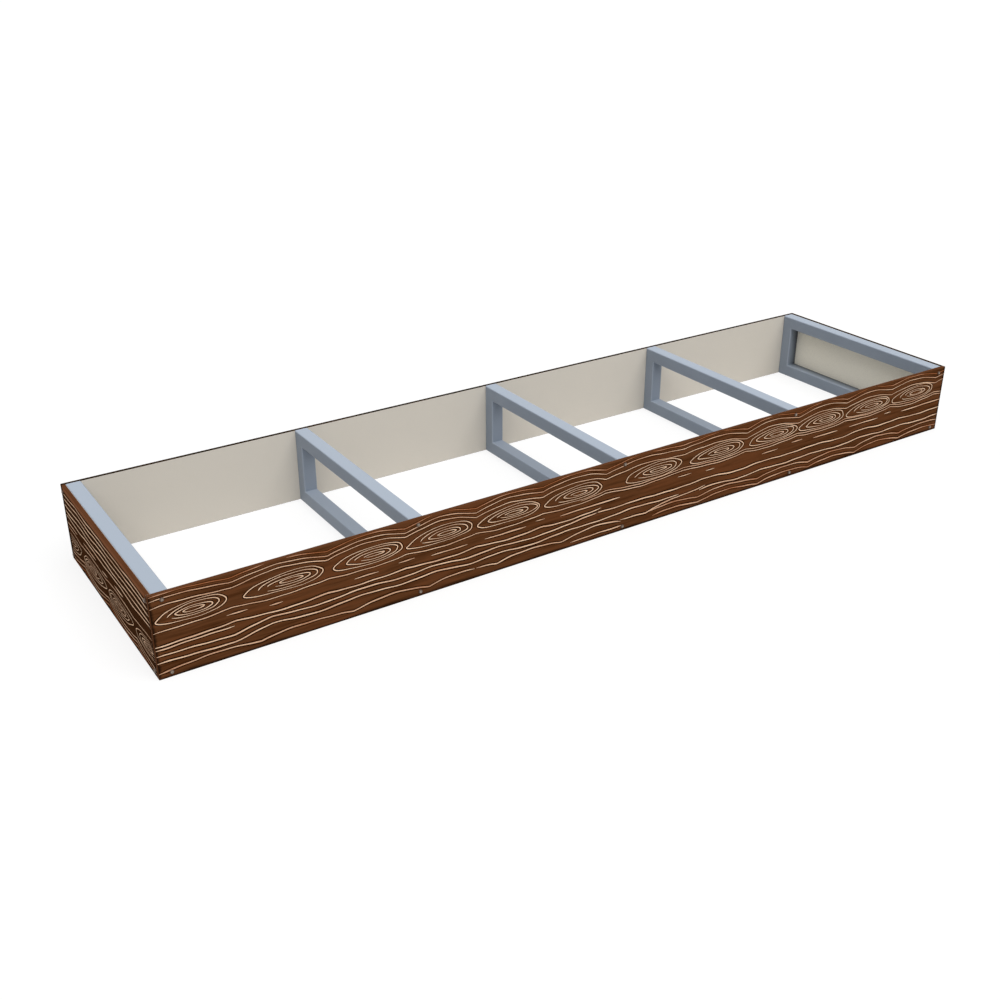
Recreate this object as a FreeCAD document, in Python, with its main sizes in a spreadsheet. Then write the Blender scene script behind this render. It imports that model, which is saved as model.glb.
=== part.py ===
"""Raised garden bed: four printed boards screwed to five welded frames of square steel tube.

The origin is the middle of the bed on the ground. X runs along the bed, Y from front to back, Z up.
"""
import FreeCAD, Part
import enum
import math
import os
import Sketcher

# Driving dimensions, in millimetres, and one count
SIZES = (
    ("bed_length", 2000, "length of the front and back boards"),
    ("frame_width", 500, "outside width of the tube frames, which is the length of the end boards"),
    ("bed_height", 165, "height of the boards and of the frames"),
    ("board_thickness", 8, "thickness of every board"),
    ("board_chamfer", 0.5, "arris taken off every edge of a board"),
    ("frame_count", 5, "number of tube frames along the bed"),
    ("tube_side", 30, "outside of the square tube"),
    ("tube_wall", 1.5, "wall of the square tube"),
    ("tube_bend", 1.0, "inside radius of the bend at the tube's corners"),
    ("screw_diameter", 4.2, "shank of a self-drilling screw"),
    ("screw_reach", 6.5, "how far a screw passes the inside of the tube wall"),
    ("screw_point", 4.5, "length of the drill point"),
    ("head_diameter", 8.0, "pan head of a screw"),
    ("head_rim", 0.9, "straight rim under the dome of the head"),
    ("dome_rise", 2.4, "rise of the full dome over the rim, before its top is cut flat"),
    ("recess_length", 4.4, "span of the cross recess in the head"),
    ("recess_width", 1.0, "width of the arms of the recess"),
    ("recess_depth", 1.8, "depth of the recess from the top of the head"),
    ("board_hole_clearance", 0.3, "clearance hole in a board, over the shank"),
    ("tube_hole_clearance", 0.1, "hole in a tube wall, over the shank"),
    ("screw_top_drop", 11.5, "upper screws of the long boards, below the top edge"),
    ("screw_bottom_rise", 10, "lower screws of the long boards, above the ground"),
    ("end_screw_inset", 6, "screws of an end board, in from its ends"),
    ("end_screw_drop", 12.5, "screws of an end board, in from its top and bottom edges"),
    ("cut_margin", 5, "how far a cutting tool runs past the metal"),
)

# Sizes that follow from the driving dimensions, as expressions
END_FRAME_X = "(Sizes.bed_length / 2 - Sizes.board_thickness - Sizes.tube_side / 2)"
FRAME_ROW = f"(2 * {END_FRAME_X})"
FRAME_PITCH = f"({FRAME_ROW} / (Sizes.frame_count - 1))"
TUBE_HALF = "(Sizes.tube_side / 2)"
TUBE_BORE = "(Sizes.tube_side - 2 * Sizes.tube_wall)"
TUBE_CORNER = "(Sizes.tube_bend + Sizes.tube_wall)"
HALF_WIDTH = "(Sizes.frame_width / 2)"
MITRE_REACH = "(Sizes.tube_side + 2 * Sizes.cut_margin)"
WALL_CUT = f"({TUBE_HALF} + Sizes.cut_margin)"
SCREW_LENGTH = "(Sizes.board_thickness + Sizes.tube_wall + Sizes.screw_reach)"
BOARD_HOLE = "((Sizes.screw_diameter + Sizes.board_hole_clearance) / 2)"
TUBE_HOLE = "((Sizes.screw_diameter + Sizes.tube_hole_clearance) / 2)"
UPPER_SCREW_Z = "(Sizes.bed_height - Sizes.screw_top_drop)"
UPPER_END_SCREW_Z = "(Sizes.bed_height - Sizes.end_screw_drop)"

# Screws and their holes are drawn with this many sides, so that the many of them stay light
ROUND_SIDES = 12
# Steps up the dome of a screw head, in degrees of a quarter ellipse; the last one is the flat top
DOME_STEPS = (0, 35, 65)
DRILL_TIP = "(Sizes.screw_diameter / 8)"


class Spot(enum.IntEnum):
    """A line's or arc's own points, as the sketch solver numbers them."""

    START = 1
    END = 2
    CENTRE = 3


# The origin of a sketch is the first point of its X axis, whose number is -1
ORIGIN = (-1, Spot.START)

doc = FreeCAD.newDocument("raised_garden_bed")
sheet = doc.addObject("Spreadsheet::Sheet", "Sizes")
for row, (alias, size, meaning) in enumerate(SIZES, start=1):
    sheet.set(f"A{row}", meaning)
    sheet.set(f"B{row}", str(size))
    sheet.setAlias(f"B{row}", alias)
doc.recompute()
bodies = []


def new_body(label):
    """Starts a sub-part; its label names its file."""
    body = doc.addObject("PartDesign::Body", label)
    body.Label = label
    bodies.append(body)
    return body


def origin_feature(body, role):
    """Finds one of the body's own origin planes or axes."""
    return next(feature for feature in body.Origin.OriginFeatures if feature.Role == role)


def measure(body, expression):
    """Works out an expression of the sheet's sizes as a number."""
    return float(body.evalExpression(expression))


def new_sketch(body, name, role, offset=None):
    """Starts a sketch on an origin plane, moved in its own axes by the offset's expressions."""
    sketch = body.newObject("Sketcher::SketchObject", f"{body.Name}_{name}")
    sketch.AttachmentSupport = [(origin_feature(body, role), "")]
    sketch.MapMode = "FlatFace"
    for axis, expression in (offset or {}).items():
        sketch.setExpression(f"AttachmentOffset.Base.{axis}", expression)
    return sketch


def rule(sketch, *constraint):
    """Adds a constraint that has no size."""
    sketch.addConstraint(Sketcher.Constraint(*constraint))


def dimension(sketch, kind, *where, size):
    """Adds a constraint whose size is an expression of the sheet."""
    index = sketch.addConstraint(Sketcher.Constraint(kind, *where, measure(sketch, size)))
    sketch.setExpression(f"Constraints[{index}]", size)


def draw_chain(sketch, points):
    """Draws a closed chain of straight lines, and returns their numbers."""
    corners = [FreeCAD.Vector(x, y, 0) for x, y in points]
    lines = []
    for near, far in zip(corners, corners[1:] + corners[:1]):
        lines.append(sketch.addGeometry(Part.LineSegment(near, far), False))
    for first, second in zip(lines, lines[1:] + lines[:1]):
        rule(sketch, "Coincident", first, Spot.END, second, Spot.START)
    return lines


def draw_rounded_square(sketch, side, radius):
    """Draws a square with round corners about the sketch's origin."""
    half = measure(sketch, side) / 2
    round_off = measure(sketch, radius)
    flat = half - round_off
    lines, arcs = [], []
    for quarter in range(4):
        turn = quarter * math.pi / 2
        spin = FreeCAD.Rotation(FreeCAD.Vector(0, 0, 1), math.degrees(turn))
        near = spin.multVec(FreeCAD.Vector(-flat, -half, 0))
        far = spin.multVec(FreeCAD.Vector(flat, -half, 0))
        middle = spin.multVec(FreeCAD.Vector(flat, -flat, 0))
        circle = Part.Circle(middle, FreeCAD.Vector(0, 0, 1), round_off)
        lines.append(sketch.addGeometry(Part.LineSegment(near, far), False))
        arcs.append(sketch.addGeometry(Part.ArcOfCircle(circle, turn - math.pi / 2, turn), False))
    for quarter in range(4):
        rule(sketch, "Tangent", lines[quarter], Spot.END, arcs[quarter], Spot.START)
        rule(sketch, "Tangent", arcs[quarter], Spot.END, lines[(quarter + 1) % 4], Spot.START)
        rule(sketch, "Horizontal" if quarter % 2 == 0 else "Vertical", lines[quarter])
    for arc in arcs[1:]:
        rule(sketch, "Equal", arcs[0], arc)
    rule(sketch, "Symmetric", arcs[0], Spot.CENTRE, arcs[2], Spot.CENTRE, *ORIGIN)
    dimension(sketch, "Radius", arcs[0], size=radius)
    dimension(sketch, "DistanceX", lines[3], Spot.START, lines[1], Spot.START, size=side)
    dimension(sketch, "DistanceY", lines[0], Spot.START, lines[2], Spot.START, size=side)


def draw_centred_rectangle(sketch, width, height):
    """Draws a rectangle about the sketch's origin."""
    half_width = measure(sketch, width) / 2
    half_height = measure(sketch, height) / 2
    bottom, right, top, left = draw_chain(sketch, (
        (-half_width, -half_height), (half_width, -half_height),
        (half_width, half_height), (-half_width, half_height)))
    for line in (bottom, top):
        rule(sketch, "Horizontal", line)
    for line in (right, left):
        rule(sketch, "Vertical", line)
    rule(sketch, "Symmetric", bottom, Spot.START, top, Spot.START, *ORIGIN)
    dimension(sketch, "DistanceX", bottom, Spot.START, bottom, Spot.END, size=width)
    dimension(sketch, "DistanceY", right, Spot.START, right, Spot.END, size=height)


def draw_mitre(sketch, length, at_top):
    """Draws the triangle that a 45 degree saw cut takes off one end of a tube along the sketch's Y."""
    half = measure(sketch, TUBE_HALF)
    margin = measure(sketch, "Sizes.cut_margin")
    reach = measure(sketch, MITRE_REACH)
    edge = measure(sketch, length) + margin if at_top else -margin
    inward = -reach if at_top else reach
    across, along = draw_chain(sketch, (
        (-half - margin, edge), (half + margin, edge), (half + margin, edge + inward)))[:2]
    rule(sketch, "Horizontal", across)
    rule(sketch, "Vertical", along)
    rule(sketch, "Equal", across, along)
    dimension(sketch, "DistanceX", across, Spot.START, across, Spot.END, size=MITRE_REACH)
    dimension(sketch, "DistanceX", across, Spot.START, *ORIGIN, size=WALL_CUT)
    if at_top:
        dimension(sketch, "DistanceY", *ORIGIN, across, Spot.START, size=f"({length} + Sizes.cut_margin)")
    else:
        dimension(sketch, "DistanceY", across, Spot.START, *ORIGIN, size="Sizes.cut_margin")


def draw_round(sketch, radius):
    """Draws a small round outline about the sketch's origin, as a regular polygon with upright sides."""
    reach = measure(sketch, radius)
    step = 2 * math.pi / ROUND_SIDES
    turns = [(corner - 0.5) * step for corner in range(ROUND_SIDES)]
    lines = draw_chain(sketch, [(reach * math.cos(turn), reach * math.sin(turn)) for turn in turns])
    circle = Part.Circle(FreeCAD.Vector(0, 0, 0), FreeCAD.Vector(0, 0, 1), reach)
    guide = sketch.addGeometry(circle, True)
    rule(sketch, "Coincident", guide, Spot.CENTRE, *ORIGIN)
    for line in lines:
        rule(sketch, "PointOnObject", line, Spot.START, guide)
    for line in lines[1:]:
        rule(sketch, "Equal", lines[0], line)
    rule(sketch, "Vertical", lines[0])
    dimension(sketch, "Radius", guide, size=radius)


def add_pad(body, name, sketch, length):
    """Raises a sketch along its normal."""
    pad = body.newObject("PartDesign::Pad", f"{body.Name}_{name}")
    pad.Profile = sketch
    pad.setExpression("Length", length)
    doc.recompute()
    return pad


def add_pocket(body, name, sketch, length, along_normal=False, both_sides=False):
    """Cuts a sketch into the body against its normal, along it, or both ways, and checks that it cut."""
    volume = body.Shape.Volume
    pocket = body.newObject("PartDesign::Pocket", f"{body.Name}_{name}")
    pocket.Profile = sketch
    pocket.Reversed = along_normal
    if both_sides:
        pocket.SideType = "Symmetric"
    pocket.setExpression("Length", length)
    doc.recompute()
    if not body.Shape.Volume < volume:
        raise RuntimeError(f"{pocket.Name} cuts nothing")
    return pocket


def add_loft(body, name, sections):
    """Joins a row of outlines with straight sides; each section is (radius, offset of its plane)."""
    outlines = []
    for number, (radius, offset) in enumerate(sections, start=1):
        outlines.append(new_sketch(body, f"{name}_{number}", "XZ_Plane", offset))
        draw_round(outlines[-1], radius)
    loft = body.newObject("PartDesign::AdditiveLoft", f"{body.Name}_{name}")
    loft.Profile = outlines[0]
    loft.Sections = outlines[1:]
    loft.Ruled = True
    doc.recompute()
    return loft


def add_grid(body, name, feature, first, second):
    """Repeats a feature, or the whole body, along two origin axes: (axis role, length, number)."""
    grid = body.newObject("PartDesign::LinearPattern", f"{body.Name}_{name}")
    if feature:
        grid.Originals = [feature]
    else:
        grid.TransformMode = "Whole shape"
    for suffix, (role, length, number) in (("", first), ("2", second)):
        setattr(grid, f"Direction{suffix}", (origin_feature(body, role), [""]))
        grid.setExpression(f"Length{suffix}", length)
        grid.setExpression(f"Occurrences{suffix}", number)
    body.Tip = grid
    doc.recompute()
    return grid


def place(body, x="0", y="0", z="0", rotation=FreeCAD.Rotation()):
    """Sets the sub-part's place: its turn, and its position as expressions."""
    body.Placement = FreeCAD.Placement(FreeCAD.Vector(0, 0, 0), rotation)
    for axis, expression in (("x", x), ("y", y), ("z", z)):
        body.setExpression(f"Placement.Base.{axis}", expression)


def make_tube(label, length):
    """Makes a hollow tube along its own Z, mitred at both ends, with its full length on the -Y side."""
    body = new_body(label)
    section = new_sketch(body, "section", "XY_Plane")
    draw_rounded_square(section, "Sizes.tube_side", TUBE_CORNER)
    draw_centred_rectangle(section, TUBE_BORE, TUBE_BORE)
    add_pad(body, "length", section, length)
    mitres = new_sketch(body, "mitres", "YZ_Plane")
    draw_mitre(mitres, length, at_top=False)
    draw_mitre(mitres, length, at_top=True)
    add_pocket(body, "mitre_cut", mitres, MITRE_REACH, both_sides=True)
    return body


def drill_outer_wall(body):
    """Drills the two holes for the screws of a long board through an upright's outer wall."""
    for name, height in (("lower", "Sizes.screw_bottom_rise"), ("upper", UPPER_SCREW_Z)):
        sketch = new_sketch(body, f"{name}_hole", "XZ_Plane", {"y": height})
        draw_round(sketch, TUBE_HOLE)
        add_pocket(body, f"{name}_drilling", sketch, WALL_CUT, along_normal=True)


def drill_side_wall(body, towards_plus_x):
    """Drills the two holes for the screws of an end board through an upright's side wall."""
    across = f"(Sizes.end_screw_inset - {TUBE_HALF})"
    for name, height in (("lower_side", "Sizes.end_screw_drop"), ("upper_side", UPPER_END_SCREW_Z)):
        sketch = new_sketch(body, f"{name}_hole", "YZ_Plane", {"x": across, "y": height})
        draw_round(sketch, TUBE_HOLE)
        add_pocket(body, f"{name}_drilling", sketch, WALL_CUT, along_normal=towards_plus_x)


def make_frame(number, count):
    """Makes the four tubes of one frame; the first and the last frame also carry an end board."""
    x = f"({number - 1} * {FRAME_PITCH} - {END_FRAME_X})"
    x_turn = FreeCAD.Rotation(FreeCAD.Vector(1, 0, 0), -90)
    half_turn = FreeCAD.Rotation(FreeCAD.Vector(0, 0, 1), 180)
    flipped = FreeCAD.Rotation(FreeCAD.Vector(0, 1, 0), 180).multiply(x_turn)
    rail_start = f"-{HALF_WIDTH}"
    upright_y = f"({HALF_WIDTH} - {TUBE_HALF})"

    bottom = make_tube(f"frame_{number}_bottom_rail", "Sizes.frame_width")
    place(bottom, x, rail_start, TUBE_HALF, flipped)
    top = make_tube(f"frame_{number}_top_rail", "Sizes.frame_width")
    place(top, x, rail_start, f"(Sizes.bed_height - {TUBE_HALF})", x_turn)

    front = make_tube(f"frame_{number}_front_upright", "Sizes.bed_height")
    place(front, x, f"-{upright_y}")
    back = make_tube(f"frame_{number}_back_upright", "Sizes.bed_height")
    place(back, x, upright_y, rotation=half_turn)
    for upright in (front, back):
        drill_outer_wall(upright)
    if number in (1, count):
        drill_side_wall(front, towards_plus_x=number != 1)
        drill_side_wall(back, towards_plus_x=number == 1)


def long_board_screws():
    """First screw of a long board, and the two directions in which it repeats."""
    first = (f"-{END_FRAME_X}", "Sizes.screw_bottom_rise")
    along = ("X_Axis", FRAME_ROW, "Sizes.frame_count")
    upward = ("Z_Axis", f"({UPPER_SCREW_Z} - Sizes.screw_bottom_rise)", "2")
    return first, along, upward


def end_board_screws():
    """First screw of an end board, and the two directions in which it repeats."""
    first = (f"-({HALF_WIDTH} - Sizes.end_screw_inset)", "Sizes.end_screw_drop")
    along = ("X_Axis", "(Sizes.frame_width - 2 * Sizes.end_screw_inset)", "2")
    upward = ("Z_Axis", f"({UPPER_END_SCREW_Z} - Sizes.end_screw_drop)", "2")
    return first, along, upward


def make_board(label, length, screws):
    """Makes a board standing on its edge, its inner face on Y = 0 and its printed face towards -Y."""
    first, along, upward = screws
    body = new_body(label)
    face = new_sketch(body, "face", "XZ_Plane", {"y": "(Sizes.bed_height / 2)"})
    draw_centred_rectangle(face, length, "Sizes.bed_height")
    slab = add_pad(body, "thickness", face, "Sizes.board_thickness")
    arris = body.newObject("PartDesign::Chamfer", f"{label}_arris")
    arris.Base = (slab, [""])
    arris.UseAllEdges = True
    arris.setExpression("Size", "Sizes.board_chamfer")
    doc.recompute()
    hole = new_sketch(body, "hole", "XZ_Plane", {"x": first[0], "y": first[1]})
    draw_round(hole, BOARD_HOLE)
    drilling = add_pocket(body, "drilling", hole, "(2 * Sizes.board_thickness)", along_normal=True)
    add_grid(body, "drillings", drilling, along, upward)
    return body


def make_screws(label, screws):
    """Makes the screws of one board, in the board's own axes, with their heads seated on its printed face."""
    first, along, upward = screws
    body = new_body(label)

    def level(height):
        """Offset of a plane across the first screw, at a height above the seat of its head."""
        return {"x": first[0], "y": first[1], "z": f"(Sizes.board_thickness + {height})"}

    head_radius = "(Sizes.head_diameter / 2)"
    shank_radius = "(Sizes.screw_diameter / 2)"
    head = [(head_radius, level("0"))]
    for step in DOME_STEPS:
        radius = f"({head_radius} * cos({step} deg))"
        height = f"(Sizes.head_rim + Sizes.dome_rise * sin({step} deg))"
        head.append((radius, level(height)))
    add_loft(body, "head", head)
    add_loft(body, "shank", (
        (shank_radius, level("0")),
        (shank_radius, level(f"(Sizes.screw_point - {SCREW_LENGTH})")),
        (DRILL_TIP, level(f"(0 - {SCREW_LENGTH})"))))
    for name, width, rise in (("flat", "Sizes.recess_length", "Sizes.recess_width"),
                              ("upright", "Sizes.recess_width", "Sizes.recess_length")):
        slot = new_sketch(body, f"{name}_slot", "XZ_Plane", level(height))
        draw_centred_rectangle(slot, width, rise)
        add_pocket(body, f"{name}_recess", slot, "Sizes.recess_depth")
    add_grid(body, "all", None, along, upward)
    return body


def make_side(name, length, screws, x="0", y="0", degrees=0):
    """Makes one side of the bed: its board and its screws, turned about Z to face outwards."""
    turn = FreeCAD.Rotation(FreeCAD.Vector(0, 0, 1), degrees)
    place(make_board(f"{name}_panel", length, screws), x, y, rotation=turn)
    place(make_screws(f"{name}_screws", screws), x, y, rotation=turn)


# Boards and their screws
end_x = "(Sizes.bed_length / 2 - Sizes.board_thickness)"
make_side("front", "Sizes.bed_length", long_board_screws(), y=f"-{HALF_WIDTH}")
make_side("back", "Sizes.bed_length", long_board_screws(), y=HALF_WIDTH, degrees=180)
make_side("left_end", "Sizes.frame_width", end_board_screws(), x=f"-{end_x}", degrees=-90)
make_side("right_end", "Sizes.frame_width", end_board_screws(), x=end_x, degrees=90)

# Frames, numbered from the left
frame_total = int(sheet.get("frame_count"))
for frame_number in range(1, frame_total + 1):
    make_frame(frame_number, frame_total)

# Checks, then one file for each sub-part
doc.recompute()
for item in doc.Objects:
    if {"Invalid", "Error"} & set(item.State):
        raise RuntimeError(f"{item.Name} failed: {item.State}")
for body in bodies:
    if body.Shape.isNull() or not body.Shape.isValid():
        raise RuntimeError(f"{body.Label} has no valid shape")
os.makedirs("parts", exist_ok=True)
for body in bodies:
    body.Shape.exportStep(f"parts/{body.Label}.step")
    print(f"{body.Label}: {len(body.Shape.Solids)} solids, {body.Shape.Volume:.1f} mm3")
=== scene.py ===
"""Looks of the raised garden bed: printed boards, painted tube frames and zinc plated screws."""
import math
from collections import namedtuple

import bpy
import numpy as np
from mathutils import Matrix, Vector


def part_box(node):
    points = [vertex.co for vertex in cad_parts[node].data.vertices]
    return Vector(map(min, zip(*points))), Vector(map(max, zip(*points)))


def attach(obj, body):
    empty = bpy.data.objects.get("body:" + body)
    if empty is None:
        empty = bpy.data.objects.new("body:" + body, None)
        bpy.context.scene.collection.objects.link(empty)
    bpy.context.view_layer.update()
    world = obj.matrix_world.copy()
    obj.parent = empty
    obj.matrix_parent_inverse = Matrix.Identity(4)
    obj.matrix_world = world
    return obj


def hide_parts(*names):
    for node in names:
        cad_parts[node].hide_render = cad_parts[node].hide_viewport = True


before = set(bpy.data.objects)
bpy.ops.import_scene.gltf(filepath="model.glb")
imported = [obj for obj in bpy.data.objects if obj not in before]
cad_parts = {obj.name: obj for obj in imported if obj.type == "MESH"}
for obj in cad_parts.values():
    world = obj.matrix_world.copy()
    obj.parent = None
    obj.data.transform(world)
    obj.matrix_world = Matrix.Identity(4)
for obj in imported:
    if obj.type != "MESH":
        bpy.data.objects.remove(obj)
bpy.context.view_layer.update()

MM = 0.001
rng = np.random.default_rng(7)

# View of the bed, in degrees and metres
VIEW_AZIMUTH = -33.260
VIEW_ELEVATION = 26.374
VIEW_DISTANCE = 2.6763
VIEW_AIM = Vector((-0.1376, 0.0001, 0.0018))
LENS_MM = 43.572
SENSOR_MM = 36.0

# Light levels: a white surface under a level of 1 renders white
SKY_LEVEL = 0.40
KEY_LEVEL = 0.68
KEY_DIRECTION = Vector((-0.05, -0.54, 1.0))
KEY_SPREAD = math.radians(70)
FLOOR_BOUNCE = 0.52
FLOOR_SHADE = 0.28
FLOOR_GLOW = 0.755
FLOOR_SIDE = 60.0
FLOOR_DROP = 0.0002

# Measures taken from the boards
BOARD_LOW, BOARD_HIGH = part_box("front_panel")
BED_HALF_LENGTH = BOARD_HIGH.x
BED_HEIGHT = BOARD_HIGH.z
FRONT_FACE = BOARD_LOW.y
END_HALF_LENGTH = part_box("left_end_panel")[1].y


def srgb(red, green, blue):
    """A colour written in 0 to 255 steps, as linear light with full opacity."""
    def linear(step):
        share = step / 255
        return share / 12.92 if share <= 0.04045 else ((share + 0.055) / 1.055) ** 2.4

    return (linear(red), linear(green), linear(blue), 1.0)


class Nodes:
    """Builds one node tree: each call adds a node, sets or links its inputs and hands back an output."""

    def __init__(self, tree):
        self.tree = tree
        self.tree.nodes.clear()

    def add(self, kind, inputs=(), output=0, **settings):
        node = self.tree.nodes.new(kind)
        for name, value in settings.items():
            setattr(node, name, value)
        for key, value in dict(inputs).items():
            self.fill(node.inputs[key], value)
        return node.outputs[output] if len(node.outputs) else node

    def fill(self, socket, value):
        """Links an input to another node's output, or sets its own value."""
        if isinstance(value, bpy.types.NodeSocket):
            self.tree.links.new(value, socket)
        else:
            socket.default_value = value

    def place(self, scale=(1, 1, 1)):
        """The surface's place in metres, stretched by a scale along each axis."""
        spot = self.add("ShaderNodeTexCoord", output="Object")
        return self.add("ShaderNodeMapping", {"Vector": spot, "Scale": scale})

    def facing(self):
        """Direction in which the face itself looks, without bump."""
        return self.add("ShaderNodeNewGeometry", output="True Normal")

    def parts(self, vector):
        """The three parts of a vector, as sizes without sign."""
        size = self.add("ShaderNodeVectorMath", {0: vector}, operation="ABSOLUTE")
        node = self.tree.nodes.new("ShaderNodeSeparateXYZ")
        self.tree.links.new(size, node.inputs[0])
        return node.outputs

    def noise(self, place, scale, detail=3.0):
        inputs = {"Vector": place, "Scale": scale, "Detail": detail}
        return self.add("ShaderNodeTexNoise", inputs, output="Fac")

    def math(self, operation, first, second=0.0):
        return self.add("ShaderNodeMath", {0: first, 1: second}, operation=operation)

    def spread(self, value, low, high, to_low=0.0, to_high=1.0):
        """Maps a range of a value to another range, held at its ends."""
        inputs = {"Value": value, "From Min": low, "From Max": high, "To Min": to_low, "To Max": to_high}
        return self.add("ShaderNodeMapRange", inputs)

    def ramp(self, factor, stops):
        node = self.tree.nodes.new("ShaderNodeValToRGB")
        elements = node.color_ramp.elements
        while len(elements) < len(stops):
            elements.new(1.0)
        for element, (position, colour) in zip(elements, stops):
            element.position = position
            element.color = colour
        self.tree.links.new(factor, node.inputs["Fac"])
        return node.outputs["Color"]

    def mix(self, factor, first, second):
        node = self.tree.nodes.new("ShaderNodeMix")
        node.data_type = "RGBA"
        self.fill(node.inputs[0], factor)
        self.fill(node.inputs[6], first)
        self.fill(node.inputs[7], second)
        return node.outputs[2]

    def bump(self, height, distance, strength):
        return self.add("ShaderNodeBump", {"Height": height, "Distance": distance, "Strength": strength})


def new_material(name):
    material = bpy.data.materials.new(name)
    material.use_nodes = True
    return material, Nodes(material.node_tree)


def finish_surface(nodes, inputs):
    """Ends a material in one principled surface."""
    surface = nodes.add("ShaderNodeBsdfPrincipled", inputs)
    nodes.add("ShaderNodeOutputMaterial", {"Surface": surface})


# Colours of the boards, frames and screws
COAT_DARK = srgb(78, 44, 21)
COAT = srgb(102, 64, 38)
COAT_RED = srgb(118, 70, 41)
RIM = srgb(102, 64, 41)
# Rim of the back board and the right end, darker than the near rims as painted shade
RIM_PAINTED_SHADE = srgb(46, 38, 29)
BAND = srgb(150, 98, 68)
# Dark brown of painted shade, mixed into the coat of the end boards and along the lower edge and ends
PAINTED_SHADE_BROWN = srgb(26, 16, 9)
LINING = srgb(227, 220, 208)
# Lining of the right end board, lighter than the others as painted light in its recess
LINING_PAINTED_LIGHT = srgb(255, 250, 235)
LINING_SPECK = srgb(214, 209, 200)
INK_FAINT = srgb(172, 106, 67)
INK = srgb(255, 215, 180)
SHADE_FAINT = srgb(72, 39, 15)
SHADE = srgb(38, 17, 3)
PAINT = srgb(150, 160, 174)
PAINT_DARK = srgb(143, 153, 167)
# Paint of the upper faces, lighter as painted light
PAINT_LIT_TOP = srgb(174, 185, 199)
# Paint of the bends, pale as a painted highlight
PAINT_BEND_HIGHLIGHT = srgb(166, 176, 190)
ZINC = srgb(205, 192, 176)
ZINC_DULL = srgb(164, 151, 136)
# Brown of the painted shade round the rim of a screw head
HEAD_SHADE = srgb(66, 42, 27)
# Dark grey of the painted shade inside the end frames
END_FRAME_SHADE = srgb(38, 39, 38)

# A face of a board counts as printed or lined where it looks straight out or in by more than this
FACE_ON = 0.8
# Edges of the coat, in metres: how ragged they are, how far the dark of painted shade reaches, shares of
# dark and of band
RAGGED = 0.0015
EDGE_REACH = (0.002, 0.007)
EDGE_SHARE = 0.9
BAND_SHARE = 0.85
# Where the band fades out, from its edge in metres, and where the folded lining does, as a share of the fold
BAND_FADE = (-0.001, 0.002)
FOLD_FADE = 1.5
# Painted shade inside the end frames, in metres: how far behind a tube's face it starts, its greatest share,
# and the slack round the frame's opening
END_FRAME_SHADE_START = 0.004
END_FRAME_SHADE_SHARE = 0.9
OPENING_SLACK = 0.0005

# A board: where it faces, the axis it runs along (0 is X, 1 is Y), colours of its rim and lining, share of
# dark in its coat, which is painted shade, and in metres the height of the plain reddish band along its top
# and how far the lining comes over its rim
Board = namedtuple("Board", "outward along rim lining dusk band fold")
BOARDS = {
    "front_panel": Board((0, -1, 0), 0, RIM, LINING, 0.0, 0.0, 0.0005),
    "back_panel": Board((0, 1, 0), 0, RIM_PAINTED_SHADE, LINING, 0.0, 0.0, 0.0),
    "left_end_panel": Board((-1, 0, 0), 1, RIM, LINING, 0.52, 0.009, 0.0005),
    # The right end's lining is lighter than the others, as painted light
    "right_end_panel": Board((1, 0, 0), 1, RIM_PAINTED_SHADE, LINING_PAINTED_LIGHT, 0.52, 0.009, 0.0),
}


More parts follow.
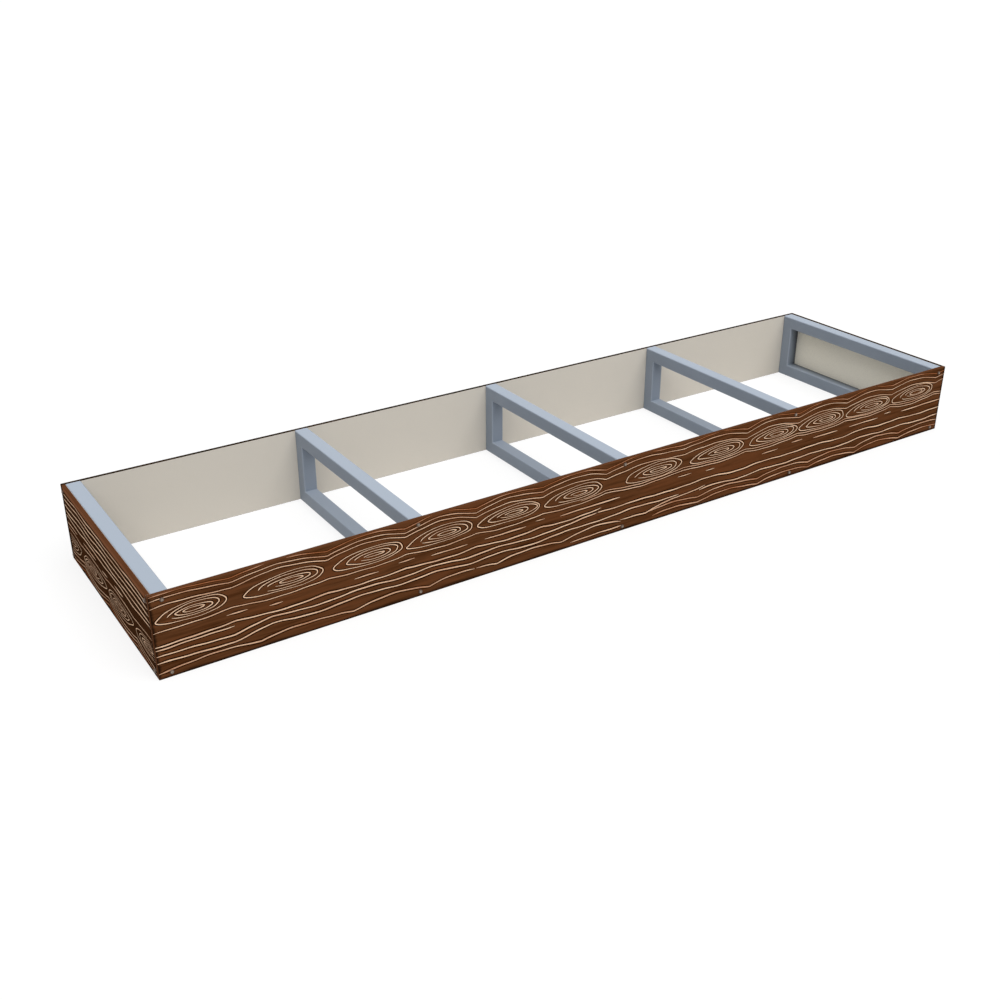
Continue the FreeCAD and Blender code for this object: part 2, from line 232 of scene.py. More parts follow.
def board_material(name, board):
    """Brown streaky coat outside, darker as painted shade along the lower edge and the ends, and a pale
    lining inside.
    """
    low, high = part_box(name)
    along = board.along
    inner_face = min(abs(low[1 - along]), abs(high[1 - along]))
    material, nodes = new_material(f"{name}_finish")

    def outwards(vector):
        """How far a vector reaches in the direction that the board faces."""
        inputs = {0: vector, 1: board.outward}
        return nodes.add("ShaderNodeVectorMath", inputs, output="Value", operation="DOT_PRODUCT")

    facing = outwards(nodes.facing())
    lined = nodes.math("LESS_THAN", facing, -FACE_ON)
    printed = nodes.math("GREATER_THAN", facing, FACE_ON)

    def grain(lengthwise, across, detail):
        """Noise drawn out along the board."""
        stretch = [lengthwise if axis == along else across for axis in range(3)]
        return nodes.noise(nodes.place(stretch), 1.0, detail)

    streaks = grain(12, 180, 5.0)
    patches = grain(5, 22, 2.0)
    fibres = grain(30, 900, 3.0)
    brown = nodes.ramp(streaks, ((0.30, COAT_DARK), (0.52, COAT), (0.78, COAT_RED)))
    brown = nodes.mix(nodes.spread(patches, 0.52, 0.72, 0.0, 0.6), brown, COAT_RED)
    brown = nodes.mix(nodes.spread(fibres, 0.35, 0.70, 0.0, 0.3), brown, COAT_DARK)
    # Painted shade: the coat of the end boards is darkened by their share
    brown = nodes.mix(board.dusk, brown, PAINTED_SHADE_BROWN)

    spot = nodes.parts(nodes.place())
    ragged = nodes.spread(streaks, 0.3, 0.7, -RAGGED, RAGGED)
    if board.band:
        from_top = nodes.math("ADD", nodes.math("SUBTRACT", high.z, spot[2]), ragged)
        start, end = (board.band + step for step in BAND_FADE)
        banded = nodes.spread(from_top, start, end, BAND_SHARE, 0.0)
        brown = nodes.mix(banded, brown, BAND)
    # Painted shade: the coat darkens towards its lower edge and towards one end
    from_end = nodes.math("SUBTRACT", high[along], spot[along])
    from_edge = nodes.math("ADD", nodes.math("MINIMUM", from_end, spot[2]), ragged)
    brown = nodes.mix(nodes.spread(from_edge, *EDGE_REACH, EDGE_SHARE, 0.0), brown, PAINTED_SHADE_BROWN)
    # Rim colour, streaked darker; on the back board and the right end its dark is painted shade
    worn = nodes.mix(nodes.spread(streaks, 0.35, 0.75, 0.0, 0.45), board.rim, COAT_DARK)
    if board.fold:
        depth = nodes.math("SUBTRACT", outwards(nodes.place()), inner_face)
        folded = nodes.spread(depth, board.fold, FOLD_FADE * board.fold, 1.0, 0.0)
        worn = nodes.mix(folded, worn, board.lining)
    brown = nodes.mix(printed, worn, brown)

    speck = nodes.noise(nodes.place(), 700.0, 2.0)
    cloud = nodes.noise(nodes.place(), 5.0, 2.0)
    pale = nodes.mix(nodes.spread(speck, 0.50, 0.80, 0.0, 0.5), board.lining, LINING_SPECK)
    pale = nodes.mix(nodes.spread(cloud, 0.35, 0.65, 0.0, 0.12), pale, LINING_SPECK)

    relief = nodes.math("ADD", nodes.math("MULTIPLY", fibres, 0.6), nodes.math("MULTIPLY", speck, 0.4))
    finish_surface(nodes, {
        "Base Color": nodes.mix(lined, brown, pale),
        "Roughness": nodes.spread(streaks, 0.25, 0.75, 0.55, 0.72),
        "Specular IOR Level": 0.0,
        "Normal": nodes.bump(relief, 0.00025, 0.5),
    })
    return material


def ink_material(name, faint, full):
    """Ink of the print, between two colours by the stroke's own strength."""
    material, nodes = new_material(name)
    strength = nodes.add("ShaderNodeAttribute", output="Fac", attribute_name="ink")
    mottle = nodes.noise(nodes.place(), 260.0, 3.0)
    worn = nodes.math("ADD", strength, nodes.spread(mottle, 0.25, 0.75, -0.16, 0.12))
    finish_surface(nodes, {
        "Base Color": nodes.mix(nodes.spread(worn, 0.0, 1.0), faint, full),
        "Roughness": nodes.spread(mottle, 0.3, 0.7, 0.50, 0.66),
        "Specular IOR Level": 0.0,
        "Normal": nodes.bump(mottle, 0.0001, 0.5),
    })
    return material


def paint_material():
    """Blue-grey paint with a faint orange peel, lighter on upper faces as painted light and pale along the
    bends as a painted highlight.

    Inside the two end frames, where their tubes meet the end boards, the paint darkens as painted shade.
    """
    low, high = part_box("frame_5_front_upright")
    rail_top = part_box("frame_5_bottom_rail")[1].z
    material, nodes = new_material("frame_paint")
    cloud = nodes.noise(nodes.place(), 9.0, 4.0)
    peel = nodes.noise(nodes.place(), 750.0, 2.0)
    grit = nodes.noise(nodes.place(), 2600.0, 1.0)
    spot = nodes.parts(nodes.place())
    up = nodes.add("ShaderNodeSeparateXYZ", {0: nodes.facing()}, output="Z")
    # Painted light: upper faces are lighter, the more so the higher they stand
    light_by_height = nodes.spread(spot[2], 0.0, BED_HEIGHT, 0.15, 1.0)
    painted_light = nodes.math("MULTIPLY", nodes.spread(up, 0.8, 0.95), light_by_height)
    sides = nodes.parts(nodes.facing())
    flat = nodes.math("MAXIMUM", nodes.math("MAXIMUM", sides[0], sides[1]), sides[2])
    # Painted highlight along the bends, broken into patches
    patchy = nodes.spread(grit, 0.35, 0.6, 0.4, 0.9)
    bend_highlight = nodes.math("MULTIPLY", nodes.spread(flat, 0.985, 0.93), patchy)
    colour = nodes.mix(nodes.spread(cloud, 0.3, 0.7), PAINT_DARK, PAINT)
    colour = nodes.mix(painted_light, colour, PAINT_LIT_TOP)
    colour = nodes.mix(nodes.spread(grit, 0.66, 0.80, 0.0, 0.25), colour, PAINT_DARK)
    colour = nodes.mix(bend_highlight, colour, PAINT_BEND_HIGHLIGHT)
    # Painted shade in the recesses of the end frames, darkest where the tubes meet the end boards
    from_middle = nodes.math("ABSOLUTE", nodes.math("SUBTRACT", spot[2], BED_HEIGHT / 2))
    in_height = nodes.math("LESS_THAN", from_middle, BED_HEIGHT / 2 - rail_top + OPENING_SLACK)
    in_width = nodes.math("LESS_THAN", spot[1], OPENING_SLACK - high.y)
    end_frame_shade = nodes.spread(spot[0], low.x + END_FRAME_SHADE_START, high.x, 0.0, END_FRAME_SHADE_SHARE)
    shaded = nodes.math("MULTIPLY", nodes.math("MULTIPLY", in_height, in_width), end_frame_shade)
    finish_surface(nodes, {
        "Base Color": nodes.mix(shaded, colour, END_FRAME_SHADE),
        "Roughness": nodes.spread(cloud, 0.3, 0.7, 0.40, 0.50),
        "Specular IOR Level": 0.15,
        "Normal": nodes.bump(peel, 0.0002, 0.35),
    })
    return material


def zinc_material():
    """Zinc plate, dulled in patches, finely scratched and darker round the rim of a head as painted shade.
    """
    material, nodes = new_material("zinc_plate")
    patches = nodes.noise(nodes.place(), 420.0, 3.0)
    scratches = nodes.noise(nodes.place((900, 900, 5200)), 1.0, 2.0)
    head_shade = nodes.add("ShaderNodeAttribute", output="Fac", attribute_name="head_shade")
    plate = nodes.mix(nodes.spread(patches, 0.35, 0.65), ZINC_DULL, ZINC)
    finish_surface(nodes, {
        "Base Color": nodes.mix(head_shade, plate, HEAD_SHADE),
        "Metallic": 0.35,
        "Roughness": nodes.spread(patches, 0.3, 0.7, 0.52, 0.38),
        "Normal": nodes.bump(scratches, 0.00008, 0.4),
    })
    return material


def dress(node, material):
    """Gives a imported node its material."""
    node.data.materials.clear()
    node.data.materials.append(material)


paint = paint_material()
zinc = zinc_material()
inks = (ink_material("print_ink", INK_FAINT, INK), ink_material("print_shade", SHADE_FAINT, SHADE))
for name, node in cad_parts.items():
    if name in BOARDS:
        dress(node, board_material(name, BOARDS[name]))
    elif name.startswith("frame_"):
        dress(node, paint)
    else:
        dress(node, zinc)

# Print of the boards, in millimetres: along from the middle of a long board, height from its lower edge.
# Six knots in a row make one repeat, and the heart is the point that a knot's rings lie round.
KNOT_REPEAT = 1018
KNOT_HEARTS = (-932, -751, -586, -431, -276, -119)
KNOT_HEIGHT = 118.7
# A knot whose neighbour's heart is nearer than this is squeezed lengthwise
KNOT_ROOM = 165
# Valleys between the knots: how far right of a heart, shares of a full depth, and how far lines stray there
VALLEY = 75
VALLEY_DEPTHS = (0.6, 1.0, 1.05, 0.95, 0.85, 1.1)
WANDER = 0.8
# Waves of the lines' sway: size, length, start, and how far the start moves per millimetre of height
SWAY_WAVES = (
    (0.6, 640, 0.3, 0.010),
    (0.5, 270, 1.9, 0.022),
    (0.5, 118, 4.1, 0.050),
    (0.35, 53, 0.8, 0.110),
)
# Waves that make a stroke uneven along its run: share, length of one radian, and how often the start counts
UNEVEN_WAVES = ((0.6, 37, 1), (0.4, 13, 2))

# Rings of a knot from its heart outwards: reach to the left and right, rise and fall, and how these stray
RINGS = ((19, 27, 3.3, 3.4), (38, 40, 7.6, 7.4), (61, 55, 12.4, 11.4), (88, 67, 17.5, 16.2))
RING_SPREAD = (2.0, 2.0, 0.5, 0.5)
# Each ring's crest lies further right than the last one's, and its left tip droops more
RING_CREST = 3.0
RING_DROOP = 0.65
RING_STEP = 4.0
# Wobble of a ring, as waves round it and their size, and openings at its left tip, in radians
RING_WOBBLE = ((2, 0.025), (3, 0.025), (5, 0.015), (8, 0.010))
RING_GAPS = (0.0, 0.0, 0.5, 0.8)
RING_STRENGTH = 1.1
RING_UNEVENNESS = 0.2
# Rings are fainter and thinner above and below the heart than at their ends
RING_FADE = 0.32
RING_THINNING = 0.5
# Sharpness of the left tip of each ring, and of all right ends
TIP_SHARPNESS = (1.6, 1.45, 1.3, 1.1)
ROUND_END = 0.9
# A knot near the left end of a stretch stays this far off it, if that leaves the knot the least reach
END_ROOM = 9
LEAST_REACH = 50

# Strokes: core of cream ink, proud of the board, with a dark shade that slopes down beside it and reaches
# so many half widths of the core from its middle
LINE_STEP = 6.0
LEAST_POINTS = 6
LINE_WIDTH = 2.5
THIN_WIDTH = 1.75
RING_WIDTH = 2.0
SHADE_REACH = 4.2
INK_PROUD = 0.10
INK_SUNK = 0.05
EDGE_MARGIN = 0.8
LINE_UNEVENNESS = 0.24
WIDTH_UNEVENNESS = 0.2
# A stroke's end has this share of its width, which grows by a step at every point
TAPER_START = 0.35
TAPER_STEP = 0.3
# Lines under the knots bend sharply if they rise to the valleys or start below the first height,
# and are thin if they start above the second
SHARP_BELOW = 26
THIN_ABOVE = 90
# Shape of a dip between two knots, and the share of a rise at which a line lies on its own level
DIP_SHARPNESS = 1.7
RISE_LEVEL = 0.4

# Lines over the knots: places and heights over a knot, fall to the valley between two knots, strength
OVER_LINES = (
    (((-1000, 164.5), (1000, 164.5)), 12.0, 0.10),
    (((-1000, 156.5), (1000, 155.5)), 13.0, 0.60),
    (((-1000, 142.5), (-880, 143.5), (-800, 148.0), (-400, 147.5),
      (-300, 144.5), (-60, 144.5), (0, 142.0), (1000, 142.0)), 12.5, 0.70),
)
# Lines under the knots: places and heights, rise from a knot to the next valley, shift along, strength
UNDER_LINES = (
    (((-1000, 95.2), (1000, 95.2)), 6.0, 0, 0.75),
    (((-110, 101.0), (1000, 101.0)), 6.0, 0, 0.60),
    (((-1000, 67.5), (-58, 66.5)), 5.0, 0, 0.85),
    (((-1000, 59.8), (-858, 60.3)), 1.5, 0, 0.90),
    (((-1000, 45.8), (-860, 45.5), (-790, 54.5), (-420, 54.5),
      (-300, 52.5), (-140, 54.0), (-62, 63.5)), -4.0, -20, 0.90),
    (((-72, 62.5), (0, 58.5), (60, 60.5), (1000, 60.5)), -3.5, -20, 0.95),
    (((-1000, 32.0), (-860, 31.0), (-790, 40.5), (-420, 40.5),
      (-300, 38.0), (-140, 41.0), (153, 45.5)), -4.5, -20, 0.90),
    (((-5, 26.5), (62, 24.5), (105, 35.5), (180, 38.5), (228, 45.0)), 1.0, 0, 0.80),
    (((212, 37.0), (260, 40.0), (1000, 41.5)), -3.5, -20, 0.90),
    (((-1000, 14.0), (-800, 19.0), (-366, 20.5)), -9.0, 46, 0.60),
    (((-362, 21.5), (-162, 25.5), (-5, 27.5)), -9.0, 46, 0.75),
    (((-135, 12.0), (0, 11.5)), -2.0, 0, 0.70),
    (((72, 22.5), (120, 26.5), (1000, 26.5)), -9.0, 46, 0.42),
    (((82, 9.0), (120, 13.5), (1000, 13.5)), -9.0, 46, 0.36),
)
# The same on the short boards, which carry another stretch of the print
END_LINES = (
    (((-1000, 92.0), (1000, 92.0)), 5.0, 0, 0.75),
    (((-1000, 66.0), (1000, 66.0)), 3.0, 0, 0.95),
    (((-1000, 54.0), (1000, 54.0)), -2.5, 0, 1.00),
    (((-1000, 40.5), (1000, 40.5)), -2.5, 0, 1.00),
    (((-1000, 27.5), (1000, 27.5)), -2.0, 0, 0.95),
    (((-1000, 15.5), (1000, 15.5)), -2.0, 0, 0.85),
)
# Dashes under the knots of a repeat, as ends along from a heart, where (0, 0) leaves the dash out, and
# higher ones at every other knot
LOW_DASH_HEIGHT = 80.0
LOW_DASHES = ((0, 0), (-40, -15), (-38, 11), (-31, 49), (-66, 31), (-43, 110))
HIGH_DASH_HEIGHT = 85.5
HIGH_DASHES = ((62, 100), (54, 88), (54, 76))
DASH_STRENGTH = 0.75
DASH_SWAY = 0.5

Stroke = namedtuple("Stroke", "along height strength width closed")


class Grain:
    """A stretch of the print: where its knots sit, and how its lines bend round them."""

    def __init__(self, first, last):
        self.first, self.last = first, last
        start = math.floor((first - KNOT_HEARTS[0]) / KNOT_REPEAT) - 1
        laps = math.ceil((last - first) / KNOT_REPEAT) + 3
        shifts = KNOT_REPEAT * np.arange(start, start + laps)
        self.hearts = np.add.outer(shifts, KNOT_HEARTS).ravel()
        gaps = np.diff(self.hearts)
        room = np.minimum(np.append(gaps, gaps[-1]), np.insert(gaps, 0, gaps[0]))
        self.stretch = np.minimum(1, room / KNOT_ROOM)
        valleys = self.hearts + VALLEY * self.stretch
        self.marks = np.sort(np.concatenate((valleys, (valleys[1:] + valleys[:-1]) / 2)))
        self.wander = rng.normal(0, WANDER, len(self.marks))
        self.depths = np.resize(np.repeat(VALLEY_DEPTHS, 2), len(self.marks))

    def towards_valley(self, along):
        """0 over the middle of a knot and 1 in the valley on its left or right."""
        return np.interp(along, self.marks, (np.arange(len(self.marks)) + 1) % 2)

    def depth(self, along):
        """How deep the nearest valley is, as a share of a full one."""
        return np.interp(along, self.marks, self.depths)

    def sway(self, along, height):
        """Slow wander of the lines, nearly alike in neighbours."""
        drift = np.interp(along, self.marks, self.wander)
        for size, length, start, shift in SWAY_WAVES:
            drift = drift + size * np.sin(2 * math.pi * along / length + start + shift * height)
        return drift


def uneven(along, value, spread):
    """A value that varies a little along a stroke."""
    start = rng.uniform(0, 6)
    waves = sum(share * np.sin(along / length + times * start) for share, length, times in UNEVEN_WAVES)
    return value + spread * waves


def flowing_strokes(grain, under_lines, boldness):
    """Strokes that run along the board, over and under the knots."""
    strokes = []

    def run(start, end, heights, strength, width=LINE_WIDTH):
        """Adds a stroke between two places, its height a function of the places along it."""
        start, end = max(start, grain.first), min(end, grain.last)
        if end - start < 2 * LINE_STEP:
            return
        along = np.linspace(start, end, max(LEAST_POINTS, round((end - start) / LINE_STEP)))
        strength = np.clip(uneven(along, strength, LINE_UNEVENNESS), 0, 1)
        width = boldness * uneven(along, width, WIDTH_UNEVENNESS * width)
        strokes.append(Stroke(along, heights(along), strength, width, False))

    for places, fall, strength in OVER_LINES:
        def over(along, places=places, fall=fall):
            level = np.interp(along, *zip(*places))
            dip = grain.depth(along) * grain.towards_valley(along) ** DIP_SHARPNESS
            return level - fall * dip + grain.sway(along, level)

        run(places[0][0], places[-1][0], over, strength, THIN_WIDTH)
    for places, rise, shift, strength in under_lines:
        def under(along, places=places, rise=rise, shift=shift):
            level = np.interp(along, *zip(*places))
            share = grain.towards_valley(along - shift)
            soft = 0.5 - 0.5 * np.cos(math.pi * share)
            lift = share ** 2 if rise > 0 or places[0][1] < SHARP_BELOW else soft
            return level + rise * (lift - RISE_LEVEL) + grain.sway(along, level)

        width = THIN_WIDTH if places[0][1] > THIN_ABOVE else LINE_WIDTH
        run(places[0][0], places[-1][0], under, strength, width)
    for number, heart in enumerate(grain.hearts):
        rows = [(LOW_DASH_HEIGHT, LOW_DASHES[number % len(LOW_DASHES)])]
        if number % 2 == 0:
            rows.append((HIGH_DASH_HEIGHT, HIGH_DASHES[number // 2 % len(HIGH_DASHES)]))
        for height, (start, end) in rows:
            def dash(along, height=height):
                return height + DASH_SWAY * grain.sway(along, height)

            run(heart + start, heart + end, dash, DASH_STRENGTH)
    return strokes


def knot_strokes(grain):
    """Nested rings of every knot: drawn out to a drooping tip on the left and round on the right."""
    strokes = []
    for heart, stretch in zip(grain.hearts, grain.stretch):
        room = heart - grain.first - END_ROOM
        shortening = min(1, room / RINGS[-1][0]) if room > LEAST_REACH else 1
        for ring, sizes in enumerate(RINGS):
            left, right, up, down = rng.normal(sizes, RING_SPREAD)
            left *= shortening
            if heart + right < grain.first or heart - left > grain.last:
                continue
            count = round(2 * (left + right) / RING_STEP)
            gap = rng.choice(RING_GAPS) if ring < len(RINGS) - 1 else 0.0
            turn = math.pi + gap + (2 * math.pi - gap) * np.arange(count) / (count - (gap > 0))
            side, rise = np.cos(turn), np.sin(turn)
            wobble = 1 + sum(size * np.sin(waves * turn + rng.uniform(0, 6)) for waves, size in RING_WOBBLE)
            crest = RING_CREST * ring
            reach = np.where(side < 0, left + crest, right - crest)
            bow = np.sign(rise) * np.abs(rise) ** np.where(side < 0, TIP_SHARPNESS[ring], ROUND_END)
            droop = RING_DROOP * ring ** 2 * np.clip(-side, 0, 1) ** 2
            along = heart + stretch * (crest + wobble * reach * side)
            height = KNOT_HEIGHT + wobble * np.where(rise > 0, up, down) * bow - droop
            strength = uneven(along, RING_STRENGTH, RING_UNEVENNESS) - RING_FADE * rise ** 2
            width = RING_WIDTH * (1 - RING_THINNING * rise ** 2)
            strokes.append(Stroke(along, height, np.clip(strength, 0, 1), width, gap == 0))
    return strokes


def inside_stretches(along, height, first, last):
    """Runs of three or more neighbouring points that lie on the board, as slices."""
    inside = (along >= first) & (along <= last) & (height >= EDGE_MARGIN)
    inside &= height <= BED_HEIGHT / MM - EDGE_MARGIN
    marks = np.flatnonzero(np.diff(np.concatenate(([0], inside.astype(int), [0]))))
    return [slice(a, b) for a, b in zip(marks[::2], marks[1::2]) if b - a > 2]


def ribbon(path, width, closed, first, last):
    """Corners of a stroke, four at each point: a foot of the shade, both edges of the core, the other foot.

    What would reach past an edge of the board is pulled back to it.
    """
    if closed:
        run = np.roll(path, -1, axis=0) - np.roll(path, 1, axis=0)
    else:
        run = np.gradient(path, axis=0)
    run /= np.linalg.norm(run, axis=1)[:, None]
    across = np.column_stack((-run[:, 1], run[:, 0]))
    taper = np.ones(len(path))
    if not closed:
        steps = np.arange(len(path))
        taper = np.clip(TAPER_START + TAPER_STEP * np.minimum(steps, steps[::-1]), 0, 1)
    core = taper * width / 2
    foot = SHADE_REACH * core
    corners = []
    for reach, out in ((-foot, -INK_SUNK), (-core, INK_PROUD), (core, INK_PROUD), (foot, -INK_SUNK)):
        flat = path + reach[:, None] * across
        flat = np.clip(flat, (first, EDGE_MARGIN), (last, BED_HEIGHT / MM - EDGE_MARGIN))
        corners.append(np.column_stack((flat, np.full(len(path), out))))
    return np.stack(corners, axis=1).reshape(-1, 3)


def ribbon_faces(count, closed, base):
    """Faces round a ribbon of so many points, with its two ends shut when it isn't a ring."""
    faces = []
    for number in range(count if closed else count - 1):
        here, there = base + 4 * number, base + 4 * ((number + 1) % count)
        for edge in range(4):
            following = (edge + 1) % 4
            faces.append((here + edge, here + following, there + following, there + edge))
    if not closed:
        last = base + 4 * (count - 1)
        faces.append((base + 3, base + 2, base + 1, base))
        faces.append((last, last + 1, last + 2, last + 3))
    return faces


def add_piece(name, points, faces, materials):
    """Makes a mesh piece that rides with the bed."""
    mesh = bpy.data.meshes.new(name)
    mesh.from_pydata([tuple(point) for point in points], [], faces)
    for material in materials:
        mesh.materials.append(material)
    piece = bpy.data.objects.new(name, mesh)
    bpy.context.scene.collection.objects.link(piece)
    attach(piece, "root")
    return piece


# Free margin of a row of the flat sheet, as a share of the row
ROW_MARGIN = 0.02


def spread_flat(corners, faces, first, last):
    """Places on a square sheet of every face's corners: the print, cut into rows that are stacked."""
    high = BED_HEIGHT / MM
    rows = round(math.sqrt((last - first) / high))
    span = (last - first) / rows
    middles = corners[faces, 0].mean(axis=1)
    row = np.clip((middles - first) // span, 0, rows - 1)[:, None]
    lengthwise = (corners[faces, 0] - first - row * span + LINE_STEP) / (span + 2 * LINE_STEP)
    upright = (row + ROW_MARGIN + (1 - 2 * ROW_MARGIN) * corners[faces, 1] / high) / rows
    return np.stack((lengthwise, upright), axis=2)


def print_piece(name, first, last, under_lines, boldness, to_face):
    """Lays every stroke of a stretch of the print on a board's face, as thin closed ribbons of ink."""
    grain = Grain(first, last)
    corners, faces, strengths = [], [], []
    count = 0
    for stroke in flowing_strokes(grain, under_lines, boldness) + knot_strokes(grain):
        stretches = inside_stretches(stroke.along, stroke.height, first, last)
        closed = stroke.closed and stretches == [slice(0, len(stroke.along))]
        for stretch in stretches:
            path = np.column_stack((stroke.along[stretch], stroke.height[stretch]))
            corners.append(ribbon(path, stroke.width[stretch], closed, first, last))
            faces += ribbon_faces(len(path), closed, count)
            strengths.append(np.repeat(stroke.strength[stretch], 4))
            count += 4 * len(path)
    corners, faces = np.concatenate(corners), np.array(faces)
    points = [to_face(*corner) for corner in corners * MM]
    piece = add_piece(name, points, faces.tolist(), inks)
    core = (corners[faces, 2] > 0).all(axis=1)
    piece.data.polygons.foreach_set("material_index", np.where(core, 0, 1))
    piece.data.attributes.new("ink", "FLOAT", "POINT").data.foreach_set("value", np.concatenate(strengths))
    sheet = spread_flat(corners, faces, first, last)
    piece.data.uv_layers.new(name="OFBake").uv.foreach_set("vector", sheet.ravel())


# Where the middle of each end board falls on the print, in metres, and how much bolder its lines are
LEFT_MIDDLE = -0.525
RIGHT_MIDDLE = 0.180
END_BOLDNESS = 1.2


def front_face(along, height, out):
    """Place in the bed of a point of the front board's print."""
    return (along, FRONT_FACE - out, height)


def back_face(along, height, out):
    """Place in the bed of a point of the back board's print."""
    return (-along, -FRONT_FACE + out, height)


def left_face(along, height, out):
    """Place in the bed of a point of the left end's print, which is upside down."""
    return (-BED_HALF_LENGTH - out, along - LEFT_MIDDLE, BED_HEIGHT - height)


def right_face(along, height, out):
    """Place in the bed of a point of the right end's print, which is upside down."""
    return (BED_HALF_LENGTH + out, RIGHT_MIDDLE - along, BED_HEIGHT - height)


def print_boards():
    """Prints the four outer faces."""
    reach = BED_HALF_LENGTH / MM - EDGE_MARGIN
    print_piece("front_panel_print", -reach, reach, UNDER_LINES, 1.0, front_face)
    print_piece("back_panel_print", -reach, reach, UNDER_LINES, 1.0, back_face)
    reach = END_HALF_LENGTH / MM - EDGE_MARGIN
    for name, middle, face in (("left", LEFT_MIDDLE, left_face), ("right", RIGHT_MIDDLE, right_face)):
        first, last = middle / MM - reach, middle / MM + reach
        print_piece(f"{name}_end_panel_print", first, last, END_LINES, END_BOLDNESS, face)


# Screws, in millimetres and degrees: pan head with a cross recess, threaded shank and drill point
HEAD_RADIUS = 4.0
HEAD_RIM = 0.9
RIM_ROUND = 0.15
DOME_RISE = 2.4
DOME_END = 65
DOME_STEP = 5
DOME_TOP = HEAD_RIM + DOME_RISE * math.sin(math.radians(DOME_END))
# The flat crown of the dome: its radius as a share of the dome's last ring, and its rise over that ring
CROWN_SHARE = 0.7
CROWN_RISE = 0.02
RECESS_LENGTH = 4.4
RECESS_WIDTH = 1.0
RECESS_DEPTH = 1.8
RECESS_TAPER = 0.7
CUTTER_RISE = 1.0
SHANK_RADIUS = 2.1
THREAD_DEPTH = 0.45
THREAD_PITCH = 1.4
THREAD_STEEPNESS = 2.2
THREAD_STEP = 0.2
SCREW_LENGTH = 16.0
POINT_LENGTH = 4.5
POINT_TIP = 0.5
# Shoulders of the drill point: share of the shank's radius, and how far below the thread
POINT_SHOULDERS = ((0.8, 0.0), (0.75, 2.0))
SCREW_SIDES = 32
# Painted shade on a head: how dense it is at the rim, and between which shares of the radius it thickens
HEAD_SHADE_SHARE = 0.9
HEAD_SHADE_REACH = (0.30, 0.70)


def screw_outline():
    """Radius and height of the rings of a screw, from the middle of its head to its tip.

    A ring of the thread has no radius of its own.
    """
    rings = [(CROWN_SHARE * HEAD_RADIUS * math.cos(math.radians(DOME_END)), DOME_TOP + CROWN_RISE)]
    for step in range(DOME_END, -1, -DOME_STEP):
        turn = math.radians(step)
        rings.append((HEAD_RADIUS * math.cos(turn), HEAD_RIM + DOME_RISE * math.sin(turn)))
    rings += [(HEAD_RADIUS, RIM_ROUND), (HEAD_RADIUS - RIM_ROUND, 0.0), (SHANK_RADIUS, 0.0)]
    thread_end = SCREW_LENGTH - POINT_LENGTH
    rings += [(None, -depth) for depth in np.arange(THREAD_STEP, thread_end, THREAD_STEP)]
    rings += [(share * SHANK_RADIUS, -thread_end - depth) for share, depth in POINT_SHOULDERS]
    rings.append((POINT_TIP, -SCREW_LENGTH))
    return rings


def thread_radius(height, turn):
    """Radius of the threaded shank: a sharp ridge that climbs one pitch in a full turn."""
    climb = (height / THREAD_PITCH + turn / (2 * math.pi)) % 1
    return SHANK_RADIUS - THREAD_DEPTH * min(1, THREAD_STEEPNESS * abs(2 * climb - 1))


def screw_blank():
    """A screw before its recess is cut: points and faces, with its axis along Z and its seat at 0."""
    rings = screw_outline()
    points, faces = [], []
    for radius, height in rings:
        for side in range(SCREW_SIDES):
            turn = 2 * math.pi * side / SCREW_SIDES
            here = thread_radius(height, turn) if radius is None else radius
            points.append((here * math.cos(turn), here * math.sin(turn), height))
    for ring in range(len(rings) - 1):
        for side in range(SCREW_SIDES):
            following = (side + 1) % SCREW_SIDES
            above, below = ring * SCREW_SIDES, (ring + 1) * SCREW_SIDES
            faces.append((above + side, below + side, below + following, above + following))
    last = (len(rings) - 1) * SCREW_SIDES
    faces.append(tuple(range(SCREW_SIDES)))
    faces.append(tuple(last + side for side in reversed(range(SCREW_SIDES))))
    return points, faces


def recess_cutter():
    """A cross that narrows with depth, to cut the recess of a head."""
    long, wide = RECESS_LENGTH / 2, RECESS_WIDTH / 2
    cross = ((wide, wide), (wide, long), (-wide, long), (-wide, wide), (-long, wide), (-long, -wide),
             (-wide, -wide), (-wide, -long), (wide, -long), (wide, -wide), (long, -wide), (long, wide))
    top = HEAD_RIM + DOME_RISE + CUTTER_RISE
    bottom = DOME_TOP - RECESS_DEPTH
    points = [(x, y, top) for x, y in cross]
    points += [(RECESS_TAPER * x, RECESS_TAPER * y, bottom) for x, y in cross]
    count = len(cross)
    faces = [(side, side + count, (side + 1) % count + count, (side + 1) % count) for side in range(count)]
    faces += [tuple(range(count)), tuple(count + side for side in reversed(range(count)))]
    return points, faces


def cut_screw():
    """Points and faces of one finished screw."""
    made = []
    for name, (points, faces) in (("blank", screw_blank()), ("cutter", recess_cutter())):
        mesh = bpy.data.meshes.new(name)
        mesh.from_pydata(points, [], faces)
        piece = bpy.data.objects.new(name, mesh)
        bpy.context.scene.collection.objects.link(piece)
        made.append(piece)
    blank, cutter = made
    cut = blank.modifiers.new("recess", "BOOLEAN")
    cut.operation = "DIFFERENCE"
    cut.solver = "EXACT"
    cut.object = cutter
    bpy.context.view_layer.update()
    mesh = bpy.data.meshes.new_from_object(blank.evaluated_get(bpy.context.evaluated_depsgraph_get()))
    points = np.array([tuple(vertex.co) for vertex in mesh.vertices])
    faces = [tuple(polygon.vertices) for polygon in mesh.polygons]
    for piece in made:
        bpy.data.objects.remove(piece)
    return points, faces


# Screws of each board: where it faces, and how many screws stand along it
SCREWS = {
    "front_screws": ((0, -1, 0), 5),
    "back_screws": ((0, 1, 0), 5),
    "left_end_screws": ((-1, 0, 0), 2),
    "right_end_screws": ((1, 0, 0), 2),
}


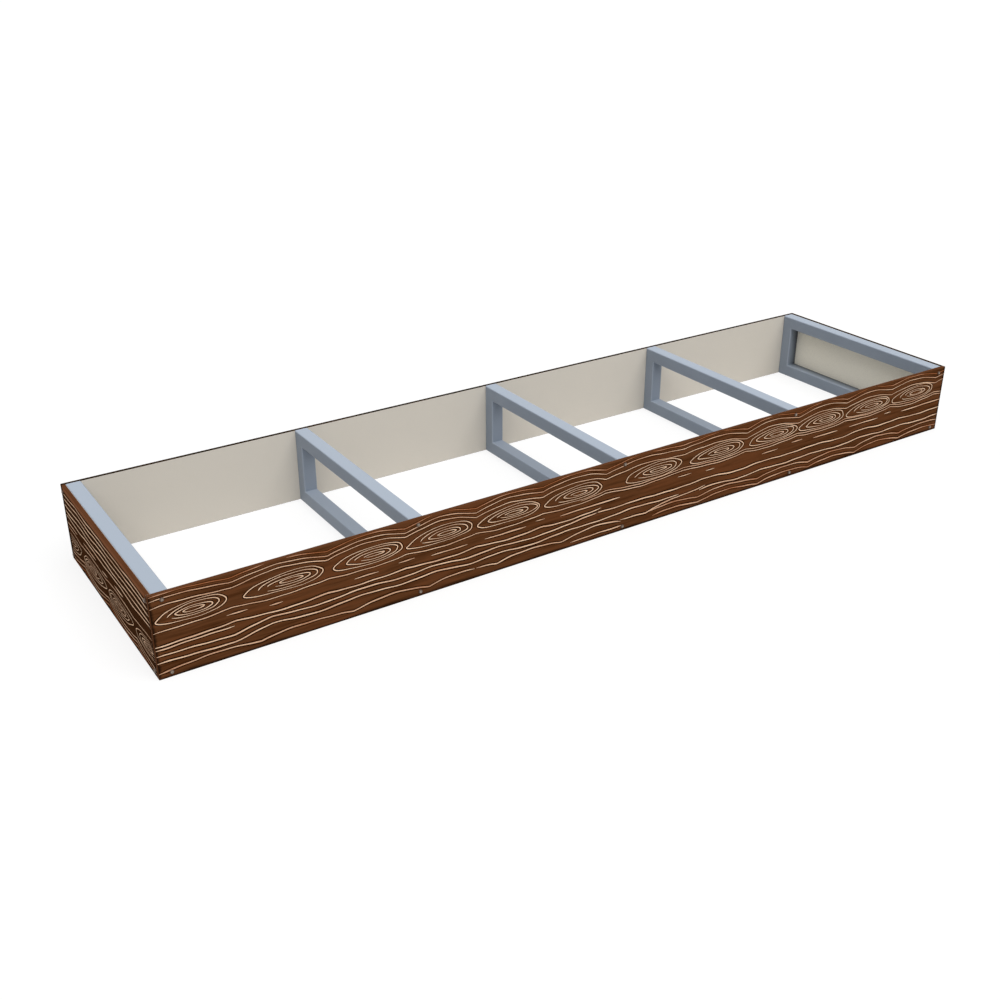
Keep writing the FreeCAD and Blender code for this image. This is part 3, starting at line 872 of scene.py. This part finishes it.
def add_screws():
    """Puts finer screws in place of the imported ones, each turned its own way."""
    points, faces = cut_screw()
    from_axis = np.hypot(points[:, 0], points[:, 1]) / HEAD_RADIUS
    # Painted shade round the rim of each head, none in its middle
    head_shade = HEAD_SHADE_SHARE * np.interp(from_axis, HEAD_SHADE_REACH, (0, 1))
    up = np.array((0, 0, 1))
    inset = HEAD_RADIUS * MM
    for node, (facing, along_count) in SCREWS.items():
        low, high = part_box(node)
        outward = np.array(facing)
        side = np.cross(up, outward)
        axis = 0 if side[0] else 1
        seat = BED_HALF_LENGTH if axis else -FRONT_FACE
        all_points, all_faces = [], []
        for place in np.linspace(low[axis] + inset, high[axis] - inset, along_count):
            for height in (low.z + inset, high.z - inset):
                turn = rng.uniform(0, math.pi)
                first = math.cos(turn) * side + math.sin(turn) * up
                second = np.cross(outward, first)
                middle = outward * seat + np.abs(side) * place + up * height
                base = len(all_points)
                all_points += list(points * MM @ np.array((first, second, outward)) + middle)
                all_faces += [tuple(base + corner for corner in face) for face in faces]
        piece = add_piece(f"{node}_fine", all_points, all_faces, (zinc,))
        head_shades = np.tile(head_shade, len(all_points) // len(points))
        piece.data.attributes.new("head_shade", "FLOAT", "POINT").data.foreach_set("value", head_shades)
        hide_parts(node)


def add_camera():
    """Looks at the bed from the front left, a little from above."""
    azimuth, elevation = math.radians(VIEW_AZIMUTH), math.radians(VIEW_ELEVATION)
    level = math.cos(elevation)
    back = Vector((math.sin(azimuth) * level, -math.cos(azimuth) * level, math.sin(elevation)))
    data = bpy.data.cameras.new("view")
    data.lens = LENS_MM
    data.sensor_width = SENSOR_MM
    data.sensor_fit = "HORIZONTAL"
    camera = bpy.data.objects.new("view", data)
    camera.location = VIEW_AIM + back * VIEW_DISTANCE
    camera.rotation_euler = (-back).to_track_quat("-Z", "Y").to_euler()
    bpy.context.scene.collection.objects.link(camera)
    bpy.context.scene.camera = camera


def seen_directly(nodes):
    """1 for rays that show a surface in the picture, itself or mirrored, and 0 for rays that only light."""
    path = nodes.tree.nodes.new("ShaderNodeLightPath")
    seen = nodes.math("MAXIMUM", path.outputs["Is Camera Ray"], path.outputs["Is Glossy Ray"])
    return nodes.math("MAXIMUM", seen, path.outputs["Is Transmission Ray"])


def add_floor():
    """A white floor that keeps a faint shadow."""
    material, nodes = new_material("studio_floor")
    seen = seen_directly(nodes)
    shade = nodes.add("ShaderNodeBsdfDiffuse", {"Color": (FLOOR_SHADE,) * 3 + (1.0,)})
    glow = nodes.add("ShaderNodeEmission", {"Color": (1, 1, 1, 1), "Strength": FLOOR_GLOW})
    shown = nodes.add("ShaderNodeAddShader", {0: shade, 1: glow})
    bounce = nodes.add("ShaderNodeBsdfDiffuse", {"Color": (FLOOR_BOUNCE,) * 3 + (1.0,)})
    surface = nodes.add("ShaderNodeMixShader", {"Fac": seen, 1: bounce, 2: shown})
    nodes.add("ShaderNodeOutputMaterial", {"Surface": surface})
    half = FLOOR_SIDE / 2
    mesh = bpy.data.meshes.new("studio_floor")
    corners = [(x * half, y * half, -FLOOR_DROP) for x, y in ((-1, -1), (1, -1), (1, 1), (-1, 1))]
    mesh.from_pydata(corners, [], [(0, 1, 2, 3)])
    mesh.materials.append(material)
    floor = bpy.data.objects.new("studio_floor", mesh)
    bpy.context.scene.collection.objects.link(floor)


def add_light():
    """An even white room and one wide soft lamp from the front and above."""
    world = bpy.data.worlds.new("studio")
    bpy.context.scene.world = world
    world.use_nodes = True
    nodes = Nodes(world.node_tree)
    strength = nodes.spread(seen_directly(nodes), 0.0, 1.0, SKY_LEVEL, 1.0)
    room = nodes.add("ShaderNodeBackground", {"Color": (1, 1, 1, 1), "Strength": strength})
    nodes.add("ShaderNodeOutputWorld", {"Surface": room})
    data = bpy.data.lights.new("key", "SUN")
    data.energy = KEY_LEVEL * math.pi
    data.angle = KEY_SPREAD
    lamp = bpy.data.objects.new("key", data)
    lamp.rotation_euler = KEY_DIRECTION.to_track_quat("Z", "Y").to_euler()
    bpy.context.scene.collection.objects.link(lamp)


print_boards()
add_screws()
add_camera()
add_floor()
add_light()
bpy.context.scene.view_settings.view_transform = "Standard"
